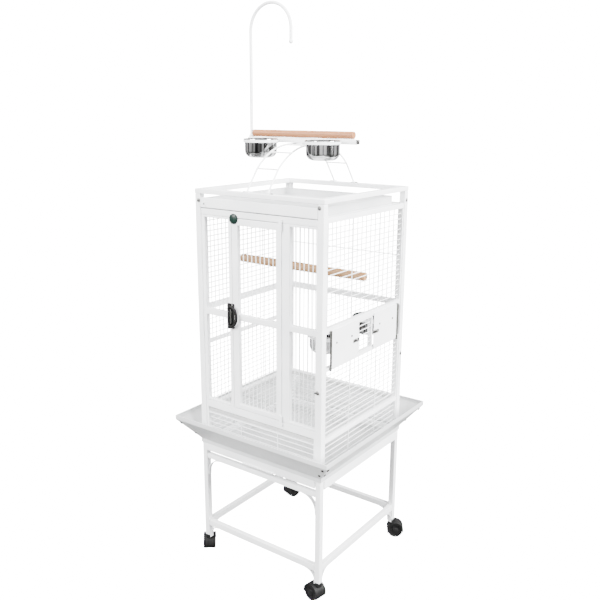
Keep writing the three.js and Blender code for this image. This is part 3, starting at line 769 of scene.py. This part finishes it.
def make_latch():
    low, high = limits("door_latch_plate")
    pivot = [v / MM for v in joint("door_latch_turn")["pos_m"][:2]]
    plate = Form(BLACK, ZINC)
    plate.block((low.x, -231.5, low.z), (high.x, high.y, high.z), 2.2, 3)
    ear = 7.5
    for z in (low.z, high.z - ear):
        plate.block((pivot[0] - 4, low.y, z), (pivot[0] + 2.4, -230, z + ear), 1.8, 3)
    plate.paint = 1
    for z in (low.z + 5, high.z - 5):
        plate.bolt((high.x - 6, -231.5, z), -INTO, 2.6, washer=False)
    plate.lathe([(0, low.z + 2), (1.6, low.z + 2), (1.6, high.z - 2), (0, high.z - 2)], (*pivot, 0), UP, 16)
    finish("door_latch_plate_moulding", plate, "door", "black_plastic", "door_latch_plate")

    middle = (low.z + high.z) / 2
    y = -237.5
    flat = pivot[0] + 4.5
    reach, rise = 25.2, 30
    bow = [(flat + reach * a, y, middle + rise * b) for a, b in arc((0, 0), 1, -90, 90, 28)]
    bow += [(flat - 3, y, middle + rise), (flat - 4, y, middle + rise - 3)]
    bow += [(flat - 4, y, middle - rise + 3), (flat - 3, y, middle - rise)]
    lever = Form(BLACK, ZINC)
    lever.sweep(bow, rounded(6.8, 7.4, 2.2, 4), INTO, closed=True)
    sleeve(lever, pivot, 1.9, 3.8, (low.z + 11, high.z - 11), 0.5, 0.5)
    lever.paint = 1
    lever.lathe([(0, middle - 22), (1.8, middle - 22), (2.1, middle - 21.6), (2.1, middle + 21.6),
                 (1.8, middle + 22), (0, middle + 22)], (flat + 1.5, y + 1.6, 0), UP, 16)
    finish("door_latch_lever_moulding", lever, "door_latch", "black_plastic", "door_latch_lever")


# ---------------------------------------------------------------- feeders and cups
def cup(form, centre, body, lip, top, height):
    """A spun steel cup of thin sheet with a rolled lip and a slightly raised bottom."""
    sheet, corner, bottom = 0.8, 20, top - height
    bend = arc((body - corner, bottom + corner), corner, -90, 0, 8)
    inner_bend = arc((body - corner, bottom + corner), corner - sheet, 0, -90, 8)
    outside = [(0, bottom + 1), (body * 0.45, bottom + 1), (body * 0.5, bottom)] + bend
    outside += [(body, top - 4.5), (lip - 0.6, top - 3.2), (lip, top - 2.4), (lip - 0.2, top - 1)]
    inside = [(body + 0.8, top), (body - sheet, top - 0.9)] + inner_bend
    inside += [(body * 0.5, bottom + sheet), (body * 0.45, bottom + 1 + sheet), (0, bottom + 1 + sheet)]
    form.lathe(outside + inside, (centre[0], centre[1], 0), UP, 56)


def band(form, x, y, inner, outer, z):
    """A flat ring with rounded edges."""
    edge = 0.8
    form.lathe([(inner, z[0] + edge), (inner + edge, z[0]), (outer - edge, z[0]), (outer, z[0] + edge),
                (outer, z[1] - edge), (outer - edge, z[1]), (inner + edge, z[1]), (inner, z[1] - edge)],
               (x, y, 0), UP, 56, closed=True)


def cup_sizes(node):
    low, high = limits(node)
    return (low + high) / 2, high.z, high.z - low.z


def make_feeders():
    plate_inner, plate_outer = 46, 183.5
    barrel, ring_z, screw = (730, 807), (786, 794), 39
    for name, side in (("front", -1), ("back", 1)):
        door = f"feeder_door_{name}"
        low, high = panel_limits(door, "right")
        plate_y = (-228.2, -226.4)
        x = sorted((side * plate_inner, side * plate_outer))
        form = Form(COAT, DARK_SCREW, ZINC, turn=TURNS["right"])
        outline = rounded(x[1] - x[0], high.z - low.z, 3, 4)
        centre = ((x[0] + x[1]) / 2, (low.z + high.z) / 2)
        form.prism([(centre[0] + a, centre[1] + b) for a, b in outline], *plate_y, edge=0.5)
        form.paint = 2
        sleeve(form, feeder_axis(name), 1.9, 3.2, barrel, 0.3, 0.4)
        form.paint = 0
        web = sorted((side * (plate_outer - 1), side * (plate_outer + 2.5)))
        form.block((web[0], plate_y[0], barrel[0]), (web[1], plate_y[1], barrel[1]), 0.6)
        middle, top, height = cup_sizes(f"feeder_cup_{name}")
        cup_x, cup_y = middle.y, -middle.x
        band(form, cup_x, cup_y, 45.3, 48.5, ring_z)
        for offset in (-screw, screw):
            form.block((cup_x + offset - 3, plate_y[1] - 0.4, ring_z[0]),
                       (cup_x + offset + 3, cup_y - 26, ring_z[1]), 0.8)
        form.paint = 1
        for offset in (-screw, screw):
            form.bolt((cup_x + offset, plate_y[0], sum(ring_z) / 2), -INTO, 3, washer=False)
        coated(door, "plate", form, door)

        latch = Form(ZINC, turn=TURNS["right"])
        low, high = panel_limits(f"feeder_latch_{name}", "right")
        x, z = (low.x + high.x) / 2, (low.z + high.z) / 2
        wing = (high.x - low.x) / 2
        half = [(4, -3), (wing - 4, -5), (wing, -2.5), (wing, 2.5), (wing - 4, 5), (4, 3)]
        outline = [(x + way * a, z + way * b) for way in (1, -1) for a, b in half]
        latch.prism(outline, -231.4, -228.6, 0.7)
        knob = [(0, 0), (5, 0), (5, 2.6), (4.2, 4.4), (3.4, 6.6), (1.8, 7.5), (0, 7.6)]
        latch.lathe(knob, (x, -228.6, z), -INTO, 28)
        node = f"feeder_latch_{name}"
        finish(f"{node}_wing", latch, node, "stainless", node)

        # the feeder cups take the steel darkened as painted reflection
        form = Form(FEEDER_STEEL_PAINTED_DARK)
        cup(form, middle, 44.5, 48.2, top, height)
        node = f"feeder_cup_{name}"
        finish(f"{node}_bowl", form, node, "stainless", node)


def make_top_cups():
    bar = limits("play_bar")
    for name in ("left", "right"):
        node = f"top_cup_{name}"
        middle, top, height = cup_sizes(node)
        form = Form(COAT, ZINC)
        back = limits(f"top_cup_ring_{name}")[1].y
        band(form, middle.x, middle.y, 48.4, 51.5, (top - 11, top - 3.4))
        left, right = middle.x - 8, middle.x + 8
        form.block((left, middle.y + 49, bar[0].z - 3.3), (right, back, bar[0].z - 0.4), 0.9)
        form.block((left, middle.y + 49, bar[0].z - 3.2), (right, -11, top - 6), 0.9)
        form.paint = 1
        form.bolt((middle.x, 0, bar[0].z - 3.3), -UP, 3.4)
        coated(f"top_cup_ring_{name}", "band", form)
        form = Form(TOP_STEEL)
        cup(form, middle, 47.5, 51.6, top, height)
        finish(f"{node}_bowl", form, node, "stainless", node)


# ---------------------------------------------------------------- inside the cage
def make_grate():
    low, high = limits("floor_grate")
    wire_z = 509
    # the grate takes the white coat darkened as painted shade
    form = Form(SHADED_GRATE_COAT)
    for y in ((low.y, low.y + 6), (high.y - 6, high.y)):
        form.block((low.x, y[0], low.z), (high.x, y[1], high.z), 1.4)
    for x in ((low.x + SEAM, low.x + 4), (high.x - 4, high.x - SEAM)):
        form.block((x[0], low.y + 1, low.z + 0.3), (x[1], high.y - 1, high.z - 0.3), 1.2)
    for x in between(low.x + 4, high.x - 4):
        form.rod([(x, low.y + 4, wire_z), (x, high.y - 4, wire_z)], WIRE, ACROSS, 8)
    for y in (-70, 70):
        form.rod([(low.x + 3, y, wire_z - 3.4), (high.x - 3, y, wire_z - 3.4)], 2, INTO, 8)
    coated("floor_grate", "frame", form, "floor_grate")


def make_roof():
    low, high = limits("roof_grille")
    border = 12
    inner = high.x - border
    middle = (low.z + high.z) / 2
    reach = high.x - border / 2
    form = Form(COAT)
    path = [(x * reach, y * reach, middle) for x, y in CORNERS.values()]
    form.sweep(path, rounded(high.z - low.z, border, 1.4), UP, closed=True)
    for x in between(-inner, inner):
        form.rod([(x, -inner - 1, low.z + 6), (x, inner + 1, low.z + 6)], WIRE, ACROSS, 8)
    coated("roof_grille", "frame", form)


def perch_profile(radius, length, chamfer=1.6, steps=24):
    """A dowel with eased ends, whose thickness wanders a little along its length."""
    body = []
    for i in range(steps + 1):
        waist = 1 - 0.012 * math.sin(7 * math.pi * i / steps)
        body.append((radius * waist, chamfer + (length - 2 * chamfer) * i / steps))
    return [(0, 0), (radius - chamfer, 0)] + body + [(radius - chamfer, length), (0, length)]


def make_perches():
    ends = Vector((-213, -40, 959.2)), Vector((213, 16, 943.3))
    axis = (ends[1] - ends[0]).normalized()
    form = Form(PERCH_WOOD)
    form.lathe(perch_profile(12.9, (ends[1] - ends[0]).length), ends[0], axis, 40)
    finish("inner_perch_dowel", form, "cage", "perch_wood", "inner_perch")

    screws = Form(ZINC)
    for end, way in ((ends[0], -axis), (ends[1], axis)):
        screws.bolt(end, way, 3, washer=False)
    finish("inner_perch_screws", screws, "cage", "stainless")

    low, high = limits("top_perch")
    radius = (high.z - low.z) / 2
    form = Form(PLAY_WOOD)
    form.lathe(perch_profile(radius, high.x - low.x), (low.x, 0, (low.z + high.z) / 2), ACROSS, 40)
    finish("top_perch_dowel", form, "cage", "play_wood", "top_perch")


# ---------------------------------------------------------------- play top
def make_ladder():
    half_width, rod, rung = 37, 2.75, 2.2
    foot_y, foot_z = 218, limits("top_frame")[1].z + 3.5
    bend_y, bend_z = 174, 1255
    crown = limits("play_bar")[0].z - 3.3

    def height(y):
        distance = abs(y)
        if distance > bend_y:
            return bend_z - (distance - bend_y) * (bend_z - foot_z) / (foot_y - bend_y)
        return crown - (crown - bend_z) * (distance / bend_y) ** 2.6

    form = Form(COAT, ZINC)
    steps = 48
    for x in (-half_width, half_width):
        path = []
        for i in range(steps + 1):
            y = -foot_y * math.cos(math.pi * i / steps)
            path.append((x, y, height(y)))
        form.rod(path, rod, ACROSS, 12)
        for y in (-foot_y, foot_y):
            top = foot_z - 0.4
            form.block((x - 6, y - 8, foot_z - 3.2), (x + 6, y + 8, top), 0.9)
    for y in (-174, -112, -40, 40, 112, 174):
        form.wire_across(-half_width, half_width, y, height(y), rung)
    form.paint = 1
    for x in (-half_width - 11, half_width + 11):
        for y in (-foot_y, foot_y):
            form.bolt((x, y, foot_z - 3.5), UP, 3.6)
    form.nut((0, 0, crown - 2.8), UP, 4.4, 3)
    coated("play_ladder", "rods", form)


def make_play_bar():
    low, high = limits("play_bar")
    form = Form(COAT, ZINC)
    form.block(low, (high.x - 1, high.y, high.z), 1.8)
    form.paint = 1
    form.block((high.x - 1.6, low.y + 1, low.z + 1), (high.x, high.y - 1, high.z - 1), 0.5)
    coated("play_bar", "tube", form)


def make_hook():
    low, high = limits("toy_hook")
    tube, radius, stem = 4.75, 75, -200
    foot = limits("play_bar")[1].z + 0.3
    centre = (stem + radius, high.z - tube - radius)
    tip_z = centre[1] - 36
    straight = [(stem, foot + (centre[1] - foot) * i / 6) for i in range(6)]
    curve = straight + arc(centre, radius, 180, 0, 40) + [(centre[0] + radius, tip_z)]
    form = Form(COAT, ZINC)
    form.rod([(x, 0, z) for x, z in curve], tube, INTO, 20)
    ball = 6.4
    form.lathe([(ball * math.sin(t), -ball * math.cos(t)) for t in [math.pi * i / 14 for i in range(15)]],
               (centre[0] + radius, 0, tip_z), UP, 24)
    form.lathe([(0, 0), (7.6, 0), (8, 0.6), (8, 4), (7, 5.6), (5.4, 8), (0, 8)], (stem, 0, foot), UP, 28)
    form.paint = 1
    form.nut((stem, 0, limits("play_bar")[0].z - 3.6), UP, 5, 3.4)
    coated("toy_hook", "rod", form)


# ---------------------------------------------------------------- casters
def caster_turn(corner):
    """The place and heading of a caster, with x towards the wheels and y along their axle."""
    pivot = Vector(joint(f"caster_{corner}_swivel")["pos_m"]) / MM
    wheel = Vector(joint(f"wheels_{corner}_roll")["pos_m"]) / MM
    trail = wheel - pivot
    heading = math.atan2(trail.y, trail.x)
    turn = Matrix.Translation((pivot.x, pivot.y, 0)) @ Matrix.Rotation(heading, 4, "Z")
    return turn, Vector((trail.x, trail.y, 0)).length, wheel.z


def make_casters():
    for corner in CORNERS:
        turn, trail, radius = caster_turn(corner)
        form = Form(BLACK, ZINC, turn=turn)
        hood = [(trail + x, z) for x, z in arc((0, radius), radius + 3, -14, 206, 34)]
        inside = [(trail + x, z) for x, z in arc((0, radius), radius + 1.2, 206, -14, 34)]
        form.prism(hood + inside, -20, 20, 0.5)
        for side in (-1, 1):
            cheek = [(trail + x, z) for x, z in arc((0, radius), radius + 1.6, 8, 158, 26)]
            cheek += [(trail + x, z) for x, z in arc((0, radius), radius - 3.5, 158, 8, 26)]
            a, b = sorted((side * 19.4, side * 20))
            form.prism(cheek, a, b, 0.2)
        web = [(trail + x, z) for x, z in arc((0, radius), radius + 1.4, -25, 205, 36)]
        form.prism(web, -4.5, 4.5, 0.8)
        form.lathe([(0, 48), (10.5, 48), (10.5, 55), (9.6, 57), (9.4, 59.4), (0, 59.4)], (0, 0, 0), UP, 32)
        form.paint = 1
        form.lathe([(0, 58), (5.5, 58), (5.5, 72), (4.8, 74), (0, 74)], (0, 0, 0), UP, 20)
        form.lathe([(6, 59.3), (9, 59.3), (9, 59.7), (6, 59.7)], (0, 0, 0), UP, 28, closed=True)
        node = f"caster_housing_{corner}"
        finish(f"{node}_moulding", form, f"caster_{corner}", "black_plastic", node)

        wheels = Form(TREAD, BLACK, ZINC, turn=turn)
        for side in (-1, 1):
            at = (trail, 0, radius)
            axis = INTO * side
            wheels.paint = 0
            wheels.lathe([(20.5, 6.4), (24, 6.4), (radius, 7.6), (radius, 17.4), (24.2, 18.6), (22, 18.9),
                          (20.5, 18.6)], at, axis, 64, closed=True)
            wheels.paint = 1
            wheels.lathe([(0, 6.8), (21, 6.8), (21, 18.2), (19.6, 18.2), (18.6, 16.6), (9.5, 16.2), (8.6, 18),
                          (7.4, 18.7), (3, 18.9), (0, 18.2)], at, axis, 48)
            spokes, spoke_middle, spoke_half = 6, 13.8, 5.2
            for i in range(spokes):
                angle = 2 * math.pi * i / spokes
                outward = Vector((math.cos(angle), 0, math.sin(angle)))
                middle = Vector(at) + spoke_middle * outward + axis * 16.8
                path = [middle - outward * spoke_half, middle + outward * spoke_half]
                wheels.sweep(path, rounded(1.6, 2.6, 0.5, 2), INTO)
        wheels.paint = 2
        wheels.lathe([(0, -7), (3.9, -7), (3.9, 7), (0, 7)], (trail, 0, radius), INTO, 20)
        node = f"caster_wheels_{corner}"
        finish(f"{node}_pair", wheels, f"wheels_{corner}", "caster_tread", node)


# ---------------------------------------------------------------- fasteners on the cage
def make_frame_bolts():
    """Bolts that hold the posts, panels and top together."""
    form = Form(ZINC)
    post = HALF - 10
    for sy in (-1, 1):
        for z in (659, 1150):
            form.bolt((-HALF, sy * post, z), -ACROSS, 3.9)
    for z in (659, 1150):
        form.bolt((HALF, post, z), ACROSS, 3.9)
    for x, z in ((-214, 1158), (214, 1168), (214, 659)):
        form.bolt((x, -HALF, z), -INTO, 4)
    for a, b in ((206, 212), (216, 222)):
        form.block((a, -HALF - 4.2, 656.4), (b, -HALF - 2.6, 661.6), 0.7)
    finish("post_bolts", form, "cage", "stainless")

    clip = Form(COAT, ZINC)
    clip.block((-196, -231, 1139), (-188, -HALF - 0.3, 1156), 0.9)
    clip.paint = 1
    clip.bolt((-192, -231, 1150), -INTO, 2.4, washer=False)
    finish("top_tray_clip", clip, "top_tray", "white_coat")


# ---------------------------------------------------------------- studio
def make_sweep(scene):
    """A white floor that curves up into a backdrop on every side, out of reach of the object's light."""
    flat, bend, wall = 7, 3, 8
    profile = [(0, 0), (flat, 0)] + [(flat + a, bend + b) for a, b in arc((0, 0), bend, -90, 0, 10)]
    profile.append((flat + bend, wall))
    sweep = Form()
    sweep.lathe([(r / MM, z / MM) for r, z in profile], (0, 0, 0), UP, 64)
    mesh = bpy.data.meshes.new("floor")
    mesh.from_pydata([p * MM for p in sweep.points], [], sweep.faces)
    mesh.shade_smooth()
    floor = bpy.data.objects.new("floor", mesh)
    look = Finish("studio_white")
    look.color(look.ramp(look.noise(3, 2), (0.3, (0.93, 0.93, 0.93)), (0.7, (0.96, 0.96, 0.96))))
    look.set(Roughness=0.8, Emission_Color=(1, 1, 1, 1), Emission_Strength=18)
    mesh.materials.append(look.material)
    floor.visible_diffuse = False
    floor.visible_glossy = False
    floor.visible_shadow = False
    scene.collection.objects.link(floor)


def softbox(scene, name, place, target, size, power):
    light = bpy.data.objects.new(name, bpy.data.lights.new(name, "AREA"))
    light.data.shape = "RECTANGLE"
    light.data.size, light.data.size_y = size
    light.data.energy = power
    aim = (Vector(target) - Vector(place)).to_track_quat("-Z", "Y")
    light.matrix_world = Matrix.Translation(place) @ aim.to_matrix().to_4x4()
    scene.collection.objects.link(light)


def flag(scene, name, centre, width, height, turn):
    """A dark card that only mirrors see, for the streaks in polished steel."""
    mesh = bpy.data.meshes.new(name)
    x, z = width / 2, height / 2
    mesh.from_pydata([(-x, 0, -z), (x, 0, -z), (x, 0, z), (-x, 0, z)], [], [(0, 1, 2, 3)])
    card = bpy.data.objects.new(name, mesh)
    card.matrix_world = Matrix.Translation(centre) @ Matrix.Rotation(math.radians(turn), 4, "Z")
    dark = Finish(name)
    dark.set(Base_Color=(0.02, 0.02, 0.02, 1), Roughness=0.9)
    mesh.materials.append(dark.material)
    card.visible_camera = False
    card.visible_diffuse = False
    card.visible_shadow = False
    scene.collection.objects.link(card)


def make_studio():
    scene = bpy.context.scene
    camera = bpy.data.objects.new("front_camera", bpy.data.cameras.new("front_camera"))
    camera.data.lens = 43.89
    camera.data.sensor_width = 36
    yaw, pitch, roll = math.radians(36.03), math.radians(90 - 14.39), math.radians(0.30)
    aim = Matrix.Rotation(yaw, 4, "Z") @ Matrix.Rotation(pitch, 4, "X") @ Matrix.Rotation(roll, 4, "Z")
    camera.matrix_world = Matrix.Translation((1.284, -1.783, 1.408)) @ aim
    scene.collection.objects.link(camera)
    scene.camera = camera

    make_sweep(scene)
    world = bpy.data.worlds.new("studio")
    world.use_nodes = True
    nodes, links = world.node_tree.nodes, world.node_tree.links
    direction = nodes.new("ShaderNodeTexCoord").outputs["Generated"]
    height = nodes.new("ShaderNodeSeparateXYZ")
    links.new(direction, height.inputs["Vector"])
    strength = nodes.new("ShaderNodeMapRange")
    strength.inputs["From Min"].default_value = -0.4
    strength.inputs["From Max"].default_value = 0.7
    strength.inputs["To Min"].default_value = 0.35
    strength.inputs["To Max"].default_value = 2.4
    links.new(height.outputs["Z"], strength.inputs["Value"])
    links.new(strength.outputs["Result"], nodes["Background"].inputs["Strength"])
    nodes["Background"].inputs["Color"].default_value = (1, 1, 1, 1)
    scene.world = world

    softbox(scene, "key", (-1.2, -3.4, 2.6), (0, 0, 0.9), (2.4, 2.4), 620)
    softbox(scene, "side", (3.4, 0.2, 2.4), (0, 0, 0.9), (2.4, 2.4), 1000)
    softbox(scene, "top", (0, 0, 4.2), (0, 0, 0), (2.0, 2.0), 210)

    cards = ((-150, 1.2), (-112, 0.5), (-84, 1.1), (-52, 0.4), (-20, 1.3), (20, 0.6), (64, 1.6), (120, 1.8),
             (172, 1.4))
    reach = 3.4
    for i, (angle, width) in enumerate(cards):
        heading = math.radians(angle)
        place = (reach * math.cos(heading), reach * math.sin(heading), 1.2)
        flag(scene, f"flag_{i}", place, width, 2.8, angle + 90)


for make in (make_legs, make_rails, make_base_frame, make_trays, make_skirt, make_posts, make_front_wall,
             make_plain_walls, make_feeder_wall, make_door, make_latch, make_feeders, make_top_cups,
             make_grate, make_roof, make_perches, make_ladder, make_play_bar, make_hook, make_casters,
             make_frame_bolts, make_studio):
    make()
